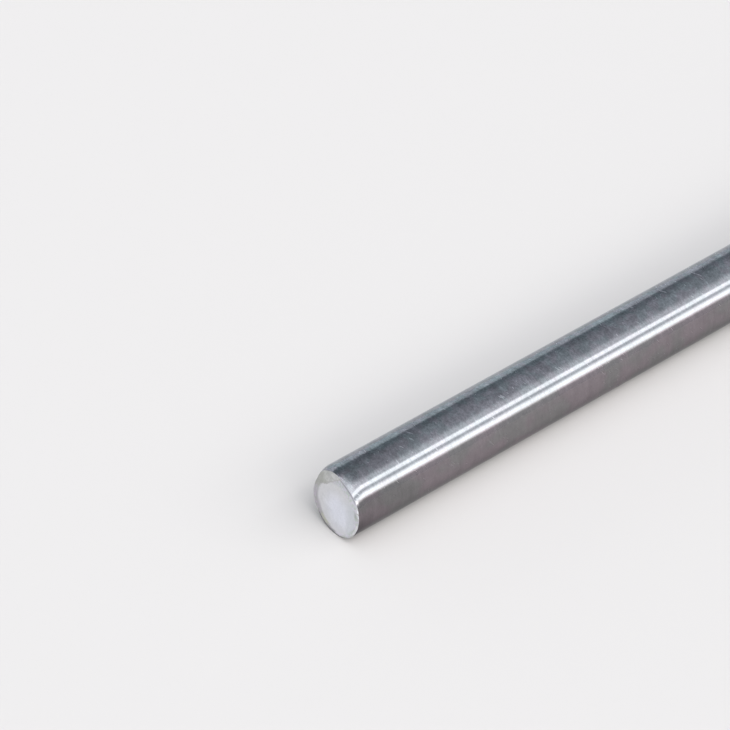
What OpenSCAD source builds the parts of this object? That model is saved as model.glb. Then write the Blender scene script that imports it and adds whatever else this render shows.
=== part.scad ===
// Round bar of bright ground steel, one solid piece of stock, cropped to length in a shear.
// It lies along X on the plane z = 0, and its axis is half a diameter above that plane.
// The blade came in high on the back. There the skin is drawn in and the bevel is widest.
// Sizes are in millimetres and angles in degrees.

/* [Bar] */
// Diameter of the ground skin
bar_d = 20; // [12:0.5:40]
// Length of the bar on its axis, from one cut to the other
bar_len = 500; // [100:10:3000]

/* [Cropped ends] */
// Side where the blade came in, turned round the bar from straight up towards the front
blade_turn = -25; // [-180:5:180]
// Lean of each cut from square, which sets the face back on the blade's side
cut_lean = 2.7; // [0:0.1:5]

/* [Bevelled rim] */
// Width of the bevel on the blade's side, measured across the cut face
bevel_wide = 2.1; // [0.5:0.1:3]
// Width of the bevel on the far side
bevel_narrow = 0.6; // [0.2:0.1:1.5]
// Slope of the bevel, measured from the cut face
bevel_slope = 24; // [10:1:45]

/* [Rolled skin] */
// Length of skin that rolls in on the blade's side, measured back from the rim
roll_len = 2.8; // [2:0.1:5]
// Depth by which the skin has rolled in at that rim
roll_drop = 0.9; // [0.3:0.05:1.2]
// Distance from the middle of the roll to the axis, which lets it die out on the far side
roll_shift = 1; // [0:0.05:1.5]

/* [Hidden] */
$fn = 192;

bar_r = bar_d / 2;

// The cut face is a flat disc, pushed off the axis by the uneven bevel
face_r = bar_r - (roll_drop + bevel_wide + bevel_narrow) / 2;
face_shift = (roll_drop + bevel_wide - bevel_narrow) / 2;

// The roll is an arc from the rim on the blade's side back to the skin, seen along the bar's side.
// It meets the skin at half the slope of its chord, as a shear leaves it, and steepens to the rim.
rim_back = bar_r * tan(cut_lean) + bevel_wide * tan(bevel_slope);
roll_fall = atan(roll_drop / roll_len);
roll_meets = roll_fall / 2;
roll_r = norm([roll_len, roll_drop]) / (2 * sin(roll_fall - roll_meets));
roll_mid_r = bar_r + roll_shift - roll_r * cos(roll_meets);
roll_mid_back = rim_back + roll_len + roll_r * sin(roll_meets);

// The blank runs past both cuts by this much, and each cutting form reaches past the other cut
spare = bar_d;
reach = bar_len + spare;

// The round blank, standing on its axis with its middle at the origin
module blank() {
    cylinder(h = bar_len + 2 * spare, r = bar_r, center = true);
}

// What the rolled skin leaves of the blank, with the cut at height 0 and the bar above it
module kept_by_roll() {
    core_r = max(bar_r / 2, roll_mid_r);
    translate([roll_shift, 0, 0])
        rotate_extrude()
            intersection() {
                translate([0, -spare]) square([bar_d, reach + spare]);
                union() {
                    translate([roll_mid_r, roll_mid_back]) circle(r = roll_r);
                    translate([0, -spare]) square([core_r, reach]);
                    translate([0, roll_mid_back]) square([bar_d, reach]);
                }
            }
}

// What the leaning cut and its bevel leave: a cone whose small flat end is the cut face
module kept_by_cut() {
    rotate([0, cut_lean, 0])
        translate([face_shift, 0, 0])
            cylinder(h = reach, r1 = face_r, r2 = face_r + reach / tan(bevel_slope));
}

// All that the cropping of one end leaves
module kept_by_end() {
    translate([0, 0, -bar_len / 2])
        rotate([0, 0, blade_turn])
            intersection() {
                kept_by_roll();
                kept_by_cut();
            }
}

// The bar: both ends are cropped alike, one turned half round from the other
module bar() {
    color([0.58, 0.60, 0.63])
        translate([0, 0, bar_r])
            rotate([0, 90, 0])
                intersection() {
                    blank();
                    kept_by_end();
                    rotate([0, 180, 0]) kept_by_end();
                }
}

bar();
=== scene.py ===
# Round bar of bright ground steel with cropped ends, lying on a pale floor.
# Metres; X runs along the bar, Z is up, and the bar's axis is half a diameter above the floor.
# A turn is an angle round the bar, from straight up towards the front.
import math

import bpy
import numpy as np
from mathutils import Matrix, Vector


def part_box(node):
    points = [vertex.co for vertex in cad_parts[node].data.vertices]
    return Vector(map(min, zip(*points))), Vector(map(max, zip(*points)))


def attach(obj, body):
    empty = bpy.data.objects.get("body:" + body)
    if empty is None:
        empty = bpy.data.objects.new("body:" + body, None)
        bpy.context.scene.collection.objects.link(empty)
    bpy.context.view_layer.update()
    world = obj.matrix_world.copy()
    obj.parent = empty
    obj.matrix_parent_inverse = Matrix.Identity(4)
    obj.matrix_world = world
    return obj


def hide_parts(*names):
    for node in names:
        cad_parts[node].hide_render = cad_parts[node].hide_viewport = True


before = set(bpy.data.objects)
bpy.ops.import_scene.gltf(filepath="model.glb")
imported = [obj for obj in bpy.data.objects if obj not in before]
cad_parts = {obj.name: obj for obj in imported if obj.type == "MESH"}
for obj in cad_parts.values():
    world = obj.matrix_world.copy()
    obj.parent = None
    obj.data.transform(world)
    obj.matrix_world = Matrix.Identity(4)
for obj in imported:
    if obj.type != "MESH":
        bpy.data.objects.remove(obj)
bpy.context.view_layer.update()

# The bar's form
# One length of round steel, ground on its skin and cropped at both ends in a shear. The blade drew the
# skin in and left a bevel on its side, and beyond it the cut is a pale, slightly torn flat.
low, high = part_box("bar")
RADIUS = (high[1] - low[1]) / 2
HALF_LENGTH = 0.2500
# The turn at which the blade came in, and the slope by which the cut leans back towards it
BLADE = math.radians(-25)
LEAN = math.tan(math.radians(2.7))
# The flat is a disc that the bevel pushes off the axis, away from the blade
FLAT_RADIUS = 0.0082
FLAT_SHIFT = 0.0012
FLAT_Y = FLAT_SHIFT * math.sin(BLADE)
FLAT_Z = -FLAT_SHIFT * math.cos(BLADE)
TORN_DEEP = 0.00004
MM = 0.001
# Points round the bar, rings of an end from its middle (0) to its rim (1), rings of skin by their distance
# behind the rim, and plain rings, which start this far from each end
AROUND = 288
END_RINGS = np.concatenate([np.linspace(0, 0.74, 34), np.linspace(0.75, 0.985, 36), [0.992, 0.997, 1.0]])
SKIN_RINGS = MM * np.array([0.03, 0.07, 0.13, 0.2, 0.3, 0.42, 0.56, 0.72, 0.9, 1.1, 1.35, 1.6, 1.9, 2.25,
                            2.6, 3.0, 3.5, 4.0, 5.0, 6.5, 9.0])
PLAIN_FROM = 0.020
PLAIN_RINGS = 24


def waves(a, b, length, seed):
    """Even random relief, nearly all of it from -1 to 1: a sum of sine waves over (a, b), each with its own
    direction and phase and a wavelength from 0.6 to 1.6 times the given one, divided by 2.2 times the sum's
    usual height, which is the root of half their count."""
    count = 24
    pick = np.random.default_rng(seed)
    way = pick.uniform(0, 2 * np.pi, count)
    phase = pick.uniform(0, 2 * np.pi, count)
    rate = 2 * np.pi / (length * pick.uniform(0.6, 1.6, count))
    along = a[..., None] * np.cos(way) + b[..., None] * np.sin(way)
    return np.sin(along * rate + phase).sum(-1) / (0.5 * count) ** 0.5 / 2.2


def humps(turn, *each):
    """Sum of soft humps round the bar, each given by its height, the turn of its top and its width in
    degrees: the height times a bell curve of the turn's distance from the top."""
    total = 0.0
    for tall, top, wide in each:
        away = (np.degrees(turn) - top + 180) % 360 - 180
        total = total + tall * np.exp(-((away / wide) ** 2))
    return total


def step(value, start, end):
    """Smooth rise from 0 at start to 1 at end, by the curve 3 t squared less 2 t cubed."""
    t = np.clip((value - start) / (end - start), 0, 1)
    return t * t * (3 - 2 * t)


def drawn_in(turn, seed):
    """How far the skin is drawn in at the rim: a broad hump on the blade's side, a deeper one behind it,
    two small ones in front of it, unevenness that grows with them, and five short nicks."""
    pulled = humps(turn, (0.45, -25, 52), (0.76, -71, 29), (0.40, 29, 17), (0.16, -8, 26))
    ripple = waves(np.cos(turn), np.sin(turn), 0.55, seed) * (0.03 + 0.05 * np.clip(pulled, 0, 1))
    nicks = humps(turn, (0.11, 50, 8), (0.10, 78, 3), (0.07, 97, 4), (0.06, 112, 3), (0.05, -134, 5))
    return MM * np.clip(pulled + ripple + nicks + 0.03, 0.02, 1.4)


def flat_edge(turn, seed):
    """Distance from the middle of the flat to where its bevel starts: a circle that reaches further out on
    the front and less far on the blade's side and at the back, with a slightly uneven line."""
    out = humps(turn, (0.75, 52, 22), (-0.65, -38, 34), (-1.25, -122, 42))
    return FLAT_RADIUS + MM * (out + 0.10 * waves(np.cos(turn), np.sin(turn), 0.5, seed + 1))


def end_relief(y, z, turn, seed):
    """How far the cut end lies behind its square plane at (y, z) from the axis, with one row for each ring
    and the rim in the last: a lean towards the blade's side, torn relief in the flat, and a bevel. The
    bevel starts softly at the flat's edge, as a hyperbola does. At the rim its depth follows a cosine that
    is greatest on the blade's side, and a hump in front of it halves it. Also returns the distance past the
    flat's edge and towards the blade."""
    towards = -y * math.sin(BLADE) + z * math.cos(BLADE)
    past = np.hypot(y - FLAT_Y, z - FLAT_Z) - flat_edge(np.arctan2(-(y - FLAT_Y), z - FLAT_Z), seed)
    wide = np.maximum(past[-1], 0.2 * MM)
    share = past / wide
    soft = 0.2
    deep = MM * (0.54 + 0.40 * np.cos(turn - BLADE)) * (1 - humps(turn, (0.5, 25, 30)))
    bevel = deep * 0.5 * (share + np.sqrt(share**2 + soft**2)) / 1.01
    flat = 1 - step(past, -0.6 * MM, 0.2 * MM)
    torn = waves(y, z, 3.1 * MM, seed + 2) + 0.45 * waves(y, z, 1.1 * MM, seed + 3)
    return LEAN * towards + bevel + TORN_DEEP * (1 + torn) * flat, past, towards


def cropped_end(turn, seed):
    """Rings of one end from the middle of its flat over the rim to the plain skin. Their middle slides from
    the flat's to the bar's with the cube of a ring's share. On the skin the depth by which it is drawn in
    dies out by a power curve of the distance behind the rim, over a length that grows with it, and the
    rings turn square from 4 to 9 mm behind it. Returns how far each point lies behind the square plane, its
    y and z from the axis, and what the materials read there, with one row for each ring."""
    share = END_RINGS[:, None]
    behind = SKIN_RINGS[:, None]
    depth = drawn_in(turn, seed)
    rim = RADIUS - depth
    slide = 1 - share**3
    y = FLAT_Y * slide - share * rim * np.sin(turn)
    z = FLAT_Z * slide + share * rim * np.cos(turn)
    back, past, towards = end_relief(y, z, turn, seed)
    length = 0.5 * MM + 3.2 * depth + MM * humps(turn, (2.1, 49, 29))
    drawn = depth * np.clip(1 - behind / length, 0, 1) ** 1.8
    skin_back = back[-1] * (1 - step(behind, 4 * MM, 9 * MM)) + behind
    y = np.vstack([y, -(RADIUS - drawn) * np.sin(turn)])
    z = np.vstack([z, (RADIUS - drawn) * np.cos(turn)])
    none = np.zeros(drawn.shape)
    facts = {
        "past_edge": np.vstack([past, none + 3 * MM]),
        "towards_blade": np.vstack([towards, none]),
        "inside_rim": np.vstack([rim * (1 - share), none]),
        "drawn_in": np.vstack([np.broadcast_to(depth, past.shape), drawn]),
    }
    return np.vstack([back, skin_back]), y, z, facts


# The near end, the far end turned half round from it, and plain rings between them. The first ring of an
# end is its middle, which one point closes. Across the bar, no point leaves the box that the bar stands in
turn = np.linspace(-np.pi, np.pi, AROUND, endpoint=False)
back, y, z, near_facts = cropped_end(turn, seed=11)
near = np.stack([-HALF_LENGTH + back, y, RADIUS + z], -1)
back, y, z, far_facts = cropped_end(np.pi - turn, seed=53)
far = np.stack([HALF_LENGTH - back, y, RADIUS - z], -1)
stations = np.linspace(-HALF_LENGTH + PLAIN_FROM, HALF_LENGTH - PLAIN_FROM, PLAIN_RINGS)[:, None]
plain = np.stack(np.broadcast_arrays(stations, -RADIUS * np.sin(turn), RADIUS + RADIUS * np.cos(turn)), -1)
rings = np.concatenate([near[1:], plain, far[:0:-1]])
centres = np.array([near[0].mean(0), far[0].mean(0)])
points = np.concatenate([rings.reshape(-1, 3), centres])
points[:, 1:] = np.clip(points[:, 1:], low[1:], high[1:])

# Quads between the rings, and a fan of triangles round each middle
column = np.arange(AROUND)
after = (column + 1) % AROUND
row = np.arange(len(rings) - 1)[:, None] * AROUND
last = (len(rings) - 1) * AROUND
near_middle = np.full(AROUND, len(rings) * AROUND)
quads = np.stack([row + column, row + after, row + AROUND + after, row + AROUND + column], -1)
quads = quads.reshape(-1, 4)
fans = np.concatenate([np.stack([near_middle, after, column], -1),
                       np.stack([near_middle + 1, last + column, last + after], -1)])
bar_mesh = bpy.data.meshes.new("ground_bar")
bar_mesh.from_pydata(points, [], quads.tolist() + fans.tolist())
bar_mesh.update()

# The ends' faces, out to the rim, take the second material
ring_of = np.concatenate([quads[:, 0] // AROUND, [0] * AROUND, [len(rings) - 1] * AROUND])
end_rows = len(END_RINGS) - 2
is_end = (ring_of < end_rows) | (ring_of >= len(rings) - 1 - end_rows)
bar_mesh.polygons.foreach_set("material_index", is_end.astype(np.int32))
bar_mesh.polygons.foreach_set("use_smooth", np.ones(len(ring_of), bool))

# What the materials read, in millimetres: how far a point of the end lies past the flat's edge, towards the
# blade's side and inside the rim, and how far the skin is drawn in
for name, near_rows in near_facts.items():
    far_rows = far_facts[name]
    values = np.concatenate([near_rows[1:].ravel(), np.zeros(AROUND * PLAIN_RINGS), far_rows[:0:-1].ravel(),
                             [near_rows[0].mean(), far_rows[0].mean()]])
    fact = bar_mesh.attributes.new(name, "FLOAT", "POINT")
    fact.data.foreach_set("value", (values / MM).astype(np.float32))
bar = bpy.data.objects.new("ground_bar", bar_mesh)
bpy.context.scene.collection.objects.link(bar)


# The ground skin
# Bright steel as the grinding wheel leaves it: fine lines run round the bar, the gloss varies in small
# patches, and a few short scratches come from handling. By the rim it is paler on top, partly burnished and
# partly a painted reflection and highlight, and darker below with painted shade.
class Value:
    """A node's output, which can be added, subtracted and multiplied as a number can."""

    def __init__(self, socket):
        self.socket = socket

    def __add__(self, other):
        return maths("ADD", self, other)

    def __radd__(self, other):
        return maths("ADD", other, self)

    def __sub__(self, other):
        return maths("SUBTRACT", self, other)

    def __rsub__(self, other):
        return maths("SUBTRACT", other, self)

    def __mul__(self, other):
        return maths("MULTIPLY", self, other)

    def __rmul__(self, other):
        return maths("MULTIPLY", other, self)


def feed(socket, value):
    """Links a Value to a socket, or sets the socket to a plain number or colour."""
    if isinstance(value, Value):
        socket.id_data.links.new(value.socket, socket)
    else:
        socket.default_value = value


def add_node(tree, kind, inputs=None, **settings):
    """Adds a node. Its settings are set by name, and its inputs are fed by name or number."""
    node = tree.nodes.new(kind)
    for name, value in settings.items():
        setattr(node, name, value)
    for name, value in (inputs or {}).items():
        feed(node.inputs[name], value)
    return node


def worked_out(kind, inputs, output=0, **settings):
    """Adds a node to the tree that its inputs come from and gives its output."""
    tree = next(value.socket.id_data for value in inputs.values() if isinstance(value, Value))
    return Value(add_node(tree, kind, inputs, **settings).outputs[output])


def maths(operation, *numbers):
    """The result of a Math node."""
    return worked_out("ShaderNodeMath", dict(enumerate(numbers)), operation=operation)


def vector_maths(operation, first, second, output=0):
    """The result of a Vector Math node, which also adds and multiplies colours."""
    return worked_out("ShaderNodeVectorMath", {0: first, 1: second}, output, operation=operation)


def slope(value, start, end, first, last, kind="LINEAR"):
    """A value moved from start..end to first..last in a straight line, and held there beyond them."""
    inputs = {0: value, 1: start, 2: end, 3: first, 4: last}
    return worked_out("ShaderNodeMapRange", inputs, interpolation_type=kind)


def ramp(value, start, end, first=0.0, last=1.0):
    """A value moved from start..end to first..last by a smooth curve, and held there beyond them."""
    return slope(value, start, end, first, last, "SMOOTHSTEP")


def blend(factor, first, second):
    """A colour mixed from two, the first where the factor is 0 and the second where it is 1."""
    first, second = (colour if isinstance(colour, Value) else (*colour, 1) for colour in (first, second))
    return worked_out("ShaderNodeMix", {0: factor, 6: first, 7: second}, 2, data_type="RGBA")


def noise(place, scale, detail=2.0, rough=0.5, seed=0.0):
    """Noise from 0 to 1, whose grains are about 1 / scale long on each axis. Its seed moves it."""
    inputs = {"Vector": place, "Scale": scale, "Location": (seed, seed, seed)}
    place = worked_out("ShaderNodeMapping", inputs)
    inputs = {"Vector": place, "Scale": 1.0, "Detail": detail, "Roughness": rough}
    return worked_out("ShaderNodeTexNoise", inputs)


def uneven(noise_value, most):
    """Noise, which seldom leaves 0.3..0.7, spread to plus and minus the given most."""
    return slope(noise_value, 0.3, 0.7, -most, most)


def new_material(name):
    """A new material, its node tree and its shader."""
    material = bpy.data.materials.new(name)
    material.use_nodes = True
    return material, material.node_tree, material.node_tree.nodes["Principled BSDF"]


def places(tree):
    """The place of a surface point in Object coordinates, as one vector and as its three numbers: along the
    bar, to the back and up."""
    spot = Value(add_node(tree, "ShaderNodeTexCoord").outputs["Object"])
    parts = add_node(tree, "ShaderNodeSeparateXYZ", {0: spot}).outputs
    return spot, *(Value(part) for part in parts)


def fact_of(tree, name):
    """A number that the mesh holds for each point."""
    return Value(add_node(tree, "ShaderNodeAttribute", attribute_name=name).outputs["Fac"])


# Specks of one slant, which both of the bar's materials use: stretched noise above a limit that varies
specks = bpy.data.node_groups.new("slanted_specks", "ShaderNodeTree")
specks.interface.new_socket("Vector", in_out="INPUT", socket_type="NodeSocketVector")
for name, default in (("Slant", 0.6), ("Size", 1.0), ("Amount", 0.5)):
    socket = specks.interface.new_socket(name, in_out="INPUT", socket_type="NodeSocketFloat")
    socket.default_value = default
specks.interface.new_socket("Mask", in_out="OUTPUT", socket_type="NodeSocketFloat")
given = add_node(specks, "NodeGroupInput").outputs
place, slant, size, amount = (Value(given[name]) for name in ("Vector", "Slant", "Size", "Amount"))
turned = worked_out("ShaderNodeCombineXYZ", {0: slant, 1: 0.5, 2: slant})
inputs = {"Vector": place, "Rotation": turned}
place = worked_out("ShaderNodeVectorRotate", inputs, rotation_type="EULER_XYZ")
place = vector_maths("DIVIDE", place, size)
speck = noise(place, (2600, 420, 420), detail=0.0)
spread = noise(place, (160, 160, 160), detail=1.0, seed=5.0)
limit = 0.80 - amount * 0.12 + ramp(spread, 0.35, 0.65, 0.08, 0.0)
add_node(specks, "NodeGroupOutput", {"Mask": ramp(speck - limit, 0.0, 0.045)})


def slanted_specks(spot, slant, size, amount):
    """A mask of short slanted strokes, from the specks group."""
    inputs = {"Vector": spot, "Slant": slant, "Size": size, "Amount": amount}
    return worked_out("ShaderNodeGroup", inputs, node_tree=specks)


skin, tree, shader = new_material("ground_skin")
spot, along, back, height = places(tree)
from_middle = maths("ABSOLUTE", along)
hair_lines = noise(spot, (5200, 110, 110), rough=0.65)
broad_lines = noise(spot, (1150, 70, 70), rough=0.55, seed=3.0)
rubs = noise(spot, (1300, 600, 600), detail=3.0, rough=0.6, seed=6.0)
grains = noise(spot, (2300, 1500, 1500), rough=0.6, seed=16.0)
patches = noise(spot, (420, 330, 330), detail=4.0, rough=0.65, seed=9.0)
clouds = noise(spot, (75, 95, 95), seed=21.0)
stains = noise(spot, (260, 200, 200), detail=3.0, rough=0.6, seed=33.0)
scratch = maths("MAXIMUM", slanted_specks(spot, 0.55, 1.0, 0.2), slanted_specks(spot, -0.5, 1.3, 0.3))
rubbed = ramp(rubs + patches * 0.5, 0.72, 1.04)

# Where on the bar: its upper part is more scuffed and bluer, and its lower flank pinker and a little darker,
# a painted reflection of the cool room above and the floor below. In front of the blade's side the drawn-in
# skin is paler, partly burnished and partly a painted reflection
facing_up = height + back * 0.3
scuffed = ramp(facing_up, 0.0150, 0.0205, 0.30, 1.0)
upper_painted_tint = ramp(facing_up, 0.0129, 0.0137)
drawn = fact_of(tree, "drawn_in") + uneven(rubs, 0.05)
# The paler drawn-in skin on the blade's side is partly burnishing and partly a painted reflection of the
# light it mirrors there
burnish_and_painted_sheen = ramp(back, 0.0, -0.0018) * ramp(back, -0.0059, -0.0043) * slope(drawn, 0.08, 0.42, 0.0, 1.0)

# The skin's tone is 1 where it is plain. Wear varies it most where it is scuffed
worn = slope(rubbed, 0.0, 1.0, -0.07, 0.20) + uneven(patches, 0.19) + uneven(grains, 0.22) + scratch * 0.6
tone = 1.0 + worn * scuffed + uneven(clouds, 0.05) + uneven(broad_lines, 0.05)
tone = tone + slope(hair_lines, 0.25, 0.75, -0.03, 0.03) + burnish_and_painted_sheen * 0.36
tone = tone + ramp(back, 0.002, 0.005) * uneven(rubs, 0.10)

# It is darker over the last 30 mm on the front and paler there at the back. Low down it is darker, most by
# the rim: painted shade of the shadowed floor that its underside mirrors.
low_down = ramp(upper_painted_tint, 0.0, 1.0, -0.20, -0.02)
end_tone_shift = ramp(back, -0.0055, -0.0035, low_down, -0.20) + ramp(back, 0.0005, 0.0035, 0.0, 0.30)
tone = tone * (1.0 + ramp(from_middle, 0.218, 0.247) * end_tone_shift)
# Painted shade low down, by the rim and, more weakly, along the whole bar
painted_shade_by_rim = ramp(from_middle, 0.2430, 0.2485) * ramp(height, 0.0120, 0.0085, 0.0, 0.25)
tone = tone * (1.0 - (painted_shade_by_rim + ramp(height, 0.0105, 0.0035, 0.0, 0.08)))

# The rim's lip is brightened at the top and again on the front: painted highlights where the drawn-in skin
# mirrors the light
top_lip_highlight = ramp(back, 0.0010, -0.0002) * ramp(back, -0.0018, -0.0008, 0.42, 1.0)
top_lip_highlight = top_lip_highlight * ramp(back, -0.0036, -0.0020) * ramp(drawn, 0.30, 0.45)
front_lip_highlight = ramp(height, 0.0143, 0.0150) * ramp(height, 0.0160, 0.0149, 0.0, 1.5)
front_lip_highlight = front_lip_highlight * ramp(from_middle, 0.2484, 0.2491) * ramp(back, 0.0, -0.005)
tone = tone * (1.0 + (top_lip_highlight + front_lip_highlight))

stained = 0.5 + ramp(stains, 0.42, 0.58, -0.5, 0.5) * scuffed
# Two tinted copies of one steel: the bluer upper one and the pinker, darker lower one are painted
# reflections of the room and the floor
cool_painted_tint = blend(stained, (0.243, 0.266, 0.273), (0.266, 0.258, 0.275))
warm_painted_tint = blend(ramp(clouds, 0.42, 0.58), (0.234, 0.228, 0.231), (0.249, 0.219, 0.235))
rough = slope(rubbed, 0.0, 1.0, 0.15, 0.175) + uneven(broad_lines, 0.015)
rough = rough + scratch * 0.2 + ramp(drawn, 0.10, 0.45) * 0.04
relief = broad_lines + hair_lines * 0.16 + rubs * 0.4
relief = worked_out("ShaderNodeBump", {"Strength": 1.0, "Distance": 0.000012, "Height": relief})
feed(shader.inputs["Base Color"], vector_maths("MULTIPLY", blend(upper_painted_tint, warm_painted_tint, cool_painted_tint), tone))
# The grazing tint is low on the lower flank and high above: painted shade on the bar's lower edge and
# painted light on its upper edge
feed(shader.inputs["Specular Tint"], blend(upper_painted_tint, (0.61, 0.62, 0.63), (0.82, 0.86, 0.89)))
feed(shader.inputs["Roughness"], rough)
feed(shader.inputs["Normal"], relief)
feed(shader.inputs["Metallic"], 1.0)

# The grinding lines stretch every highlight across them
round_bar = add_node(tree, "ShaderNodeTangent", direction_type="RADIAL", axis="X").outputs[0]
feed(shader.inputs["Tangent"], Value(round_bar))
feed(shader.inputs["Anisotropic"], 0.8)
feed(shader.inputs["Anisotropic Rotation"], 0.25)
bar_mesh.materials.append(skin)

# The cropped ends
# Bare metal that no wheel has touched. The flat is torn, pale and matt. The blade's side and the bevel are
# smeared smoother and greyer, and the rim carries the small burrs, grooves and nicks that a shear leaves,
# with painted shade round its foot and in a groove on the upper front and a painted highlight on the front
# burr.

# Each mark: its name, the turn of its middle and half its width in degrees, where it starts and ends inside
# the rim in millimetres, its colour and its strength
MARKS = (
    # Painted shade: the dark lips round the foot stand in for the shade under the rim
    ("painted shade on the lip at the foot", -161, 25, -0.5, 0.65, (0.10, 0.10, 0.09), 0.9),
    ("painted shade on the thin lip in front of the foot", 165, 13, -0.5, 0.35, (0.14, 0.14, 0.13), 0.9),
    # Painted shade: a dark line where a groove along the upper front would be shadowed
    ("painted shade in a groove along the upper front", 33, 24, 0.10, 0.42, (0.22, 0.22, 0.25), 0.8),
    # Partly a burr and partly a painted highlight of the lower lamp along the rim
    ("burr with a painted highlight on the front", 76, 8, -0.5, 0.42, (0.74, 0.75, 0.77), 0.9),
    ("nick behind the burr", 80, 6, 0.75, 1.45, (0.30, 0.32, 0.31), 0.7),
    ("nick under the burr", 97, 6, -0.5, 0.35, (0.46, 0.48, 0.48), 0.9),
    ("burr lower down", 113, 16, 0.15, 0.85, (0.66, 0.66, 0.66), 0.7),
    # Painted shade on the end just inside the rim at its foot
    ("painted shade behind the foot", -174, 11, 0.60, 1.60, (0.29, 0.28, 0.31), 0.9),
    ("crumbled edge at the back", -152, 12, 1.00, 2.50, (0.46, 0.475, 0.38), 0.9),
    ("groove at the back", -118, 24, 1.35, 1.75, (0.34, 0.32, 0.34), 0.5),
)


def arc(angle, middle, half, soft=10.0):
    """1 within half a width of the middle turn and 0 beyond, in degrees, and right across straight down."""
    away = maths("WRAP", angle - middle, 180.0, -180.0)
    return ramp(maths("ABSOLUTE", away), half + soft / 2, half - soft / 2)


cut, tree, shader = new_material("cropped_end")
spot, along, back, height = places(tree)
past_edge = fact_of(tree, "past_edge")
towards = fact_of(tree, "towards_blade")
inside_rim = fact_of(tree, "inside_rim")

# Millimetres to the front and up from the axis, up being down at the far end, which is turned half round
front = back * -1000.0
up = (height * 1000.0 - RADIUS * 1000) * (maths("SIGN", along) * -1.0)
angle = maths("DEGREES", maths("ARCTAN2", front, up))
wander = noise(spot, (500, 500, 500), detail=3.0, rough=0.6)
blots = noise(spot, (620, 620, 620), detail=3.0, rough=0.6, seed=12.0)
grain = noise(spot, (2600, 2600, 2600), detail=3.0, rough=0.6, seed=4.0)
haze = noise(spot, (190, 190, 190), seed=8.0)
mottle = noise(spot, (1100, 1100, 1100), rough=0.6, seed=27.0)
ragged = uneven(wander, 0.45)
bevel_zone = ramp(past_edge + ragged, -0.75, 0.70)
blade_zone = ramp(towards - front * 0.30 + ragged, 6.75, 7.55)

# The flat is palest round its middle and a little shaded at the front
centre = worked_out("ShaderNodeCombineXYZ", {0: front, 1: up})
off_centre = vector_maths("DISTANCE", centre, (2.0, -1.7, 0.0), "Value")
colour = blend(ramp(haze, 0.35, 0.65), (0.625, 0.635, 0.675), (0.66, 0.665, 0.715))
colour = blend(ramp(off_centre, 2.0, 8.0), colour, (0.572, 0.568, 0.575))
shaded = ramp(front, 4.0, 6.5, 0.0, 0.8) * ramp(up, 6.5, 2.0)
colour = blend(shaded, colour, (0.54, 0.555, 0.58))

# The bevel is smeared, its outer part is mottled, and a thin lip runs along the rim on the upper front
smeared = blend(ramp(front, 2.0, -3.5), (0.475, 0.48, 0.50), (0.43, 0.41, 0.435))
colour = blend(bevel_zone, colour, smeared)
crumbled = blend(ramp(mottle, 0.40, 0.60), (1.06, 1.01, 1.08), (0.87, 0.94, 0.84))
crumbled = blend(ramp(inside_rim, 2.3, 1.2), (1.0, 1.0, 1.0), crumbled)
colour = vector_maths("MULTIPLY", colour, crumbled)
colour = blend(ramp(inside_rim, 0.7, 0.25) * arc(angle, 40, 50, 30), colour, (0.45, 0.45, 0.47))

# The blade's side is pressed dark and blotched, and a torn line parts it from the flat
blotched = ramp(blots, 0.50, 0.62) * ramp(angle, -60, -15, 0.25, 0.8)
pressed = blend(ramp(angle, -55, 5), (0.34, 0.34, 0.315), (0.435, 0.435, 0.43))
colour = blend(blade_zone, colour, blend(blotched, pressed, (0.51, 0.51, 0.495)))
torn_line = blade_zone * (1.0 - blade_zone) * 2.4 * ramp(blots, 0.42, 0.56)
colour = blend(torn_line, colour, (0.34, 0.325, 0.31))

for name, middle, half, start, end, mark_colour, strength in MARKS:
    mark = ramp(inside_rim, start - 0.12, start + 0.12) * ramp(inside_rim, end + 0.15, end - 0.15)
    mark = mark * arc(angle, middle, half) * ramp(wander, 0.35, 0.50, 0.5 * strength, strength)
    colour = blend(mark, colour, mark_colour)
crack = slanted_specks(spot, 1.2, 0.7, 1.0) * maths("MAXIMUM", bevel_zone, blade_zone)
colour = blend(crack, colour, (0.36, 0.37, 0.33))
colour = vector_maths("MULTIPLY", colour, 1.0 + uneven(grain, 0.05) + uneven(wander, 0.04))
relief = grain + wander * 2.0
relief = worked_out("ShaderNodeBump", {"Strength": 1.0, "Distance": 0.00002, "Height": relief})
feed(shader.inputs["Base Color"], colour)
feed(shader.inputs["Roughness"], ramp(bevel_zone, 0.0, 1.0, 0.58, 0.45))
feed(shader.inputs["Normal"], relief)
feed(shader.inputs["Metallic"], 0.6)
bar_mesh.materials.append(cut)

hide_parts("bar")
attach(bar, "root")

# The floor
# A plain, pale, matt sheet that reaches past every view, a hair below the bar.
FLOOR_REACH = 30.0
FLOOR_Z = -0.00002
corners = [(x * FLOOR_REACH, y * FLOOR_REACH, FLOOR_Z) for x, y in ((-1, -1), (1, -1), (1, 1), (-1, 1))]
floor_mesh = bpy.data.meshes.new("floor")
floor_mesh.from_pydata(corners, [], [(0, 1, 2, 3)])
floor = bpy.data.objects.new("floor", floor_mesh)
bpy.context.scene.collection.objects.link(floor)
paint, _, shader = new_material("floor_paint")
feed(shader.inputs["Base Color"], (0.60, 0.585, 0.56, 1))
feed(shader.inputs["Roughness"], 0.9)
feed(shader.inputs["Specular IOR Level"], 0.1)
floor_mesh.materials.append(paint)

# The light
# A soft studio that is all in the world: walls, a ceiling and two long lamps that run level with the bar,
# a wall that lights the near end, and two glows for the drawn-in skin of that end to mirror.

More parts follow.
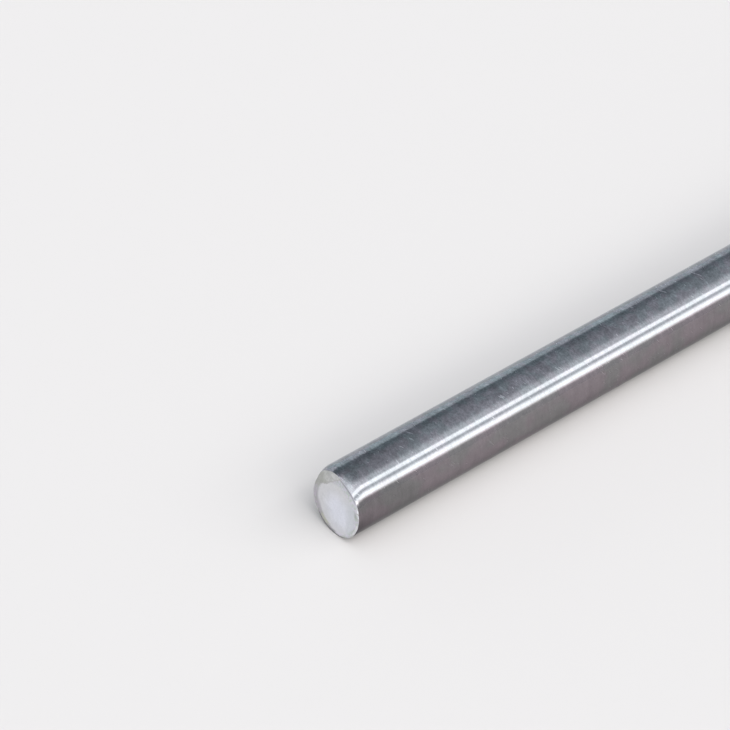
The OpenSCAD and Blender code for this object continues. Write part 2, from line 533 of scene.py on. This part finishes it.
# Each band: its name, the turns where it starts and ends, how soft these two edges are, its colour and
# its level
BANDS = (
    ("room", -190, 66, 1, 2, (0.88, 1.00, 1.14), 0.365),
    ("back wall", -150, -64.5, 1, 6, (0.95, 1.00, 1.04), 0.63),
    ("back wall, low down", -150, -94, 1, 20, (0.92, 1.00, 1.06), 0.50),
    ("ceiling", -36, 66, 44, 2, (1.03, 1.00, 1.08), 0.28),
    ("overhead", -3, 66, 24, 2, (1.02, 1.00, 1.03), 0.14),
    ("front wall", 66, 190, 2, 1, (0.99, 1.00, 1.03), 0.86),
    ("glow over the lamps", 14.5, 34, 19, 6, (1.00, 1.00, 1.02), 0.74),
    ("between the lamps", 39.5, 54, 5, 6, (0.99, 1.00, 1.01), 0.64),
    ("upper lamp", 31.2, 41.8, 6, 6, (1.01, 1.00, 1.00), 2.9),
    ("lower lamp", 53.7, 69.5, 10, 12, (1.02, 1.00, 0.99), 3.35),
)
# Each glow: its name, the turns between which it rises and falls, the X between which it sets in, its
# colour and its level. This X is a direction's: 1 along the bar to the far end and -1 to the near end
GLOWS = (
    ("broad glow", (-50, 20), (75, 50), (0.25, -0.10), (1.06, 0.99, 1.02), 1.45),
    ("narrow glow", (16, 23), (33, 28), (0.27, 0.08), (1.06, 0.99, 1.02), 1.2),
)
# The X between which the glows stop, the lamps end, and the wall at the near end comes up to its level
GLOW_STOP = (-0.27, -0.14)
LAMP_END = (0.66, 0.80)
END_WALL = (-0.45, -0.95)
END_WALL_LEVEL = 0.78
world = bpy.data.worlds.new("studio")
bpy.context.scene.world = world
world.use_nodes = True
tree = world.node_tree
way = add_node(tree, "ShaderNodeTexCoord").outputs["Generated"]
x, y, z = (Value(part) for part in add_node(tree, "ShaderNodeSeparateXYZ", {0: Value(way)}).outputs)
angle = maths("DEGREES", maths("ARCTAN2", y * -1.0, z))
light = vector_maths("MULTIPLY", (0.98, 1.00, 1.04), ramp(x, *END_WALL, 0.0, END_WALL_LEVEL))
for name, start, end, soft_start, soft_end, band_colour, level in BANDS:
    rise = ramp(angle, start - soft_start / 2, start + soft_start / 2)
    fall = ramp(angle, end - soft_end / 2, end + soft_end / 2, 1.0, 0.0)
    amount = rise * fall * level
    if name.endswith("lamp"):
        amount = amount * ramp(maths("ABSOLUTE", x), *LAMP_END, 1.0, 0.0)
    light = vector_maths("ADD", light, vector_maths("MULTIPLY", band_colour, amount))
for name, rise, fall, sets_in, glow_colour, level in GLOWS:
    amount = ramp(x, *sets_in) * ramp(x, *GLOW_STOP) * ramp(angle, *rise) * ramp(angle, *fall) * level
    light = vector_maths("ADD", light, vector_maths("MULTIPLY", glow_colour, amount))
feed(tree.nodes["Background"].inputs["Color"], light)

# The camera
# It stands above and in front of the near end and looks along the bar, which runs out of the picture to
# the right.
EYE_PLACE = (-0.71194, -0.55175, 0.63146)
EYE_DOWN = 38.573
EYE_TURN = -40.592
eye = bpy.data.cameras.new("eye")
eye.sensor_width = 36.0
eye.lens = 175.07
eye.clip_start = 0.05
eye.clip_end = 100.0
camera = bpy.data.objects.new("eye", eye)
camera.location = EYE_PLACE
camera.rotation_euler = (math.radians(90 - EYE_DOWN), 0, math.radians(EYE_TURN))
bpy.context.scene.collection.objects.link(camera)
bpy.context.scene.camera = camera
bpy.context.scene.view_settings.view_transform = "Standard"
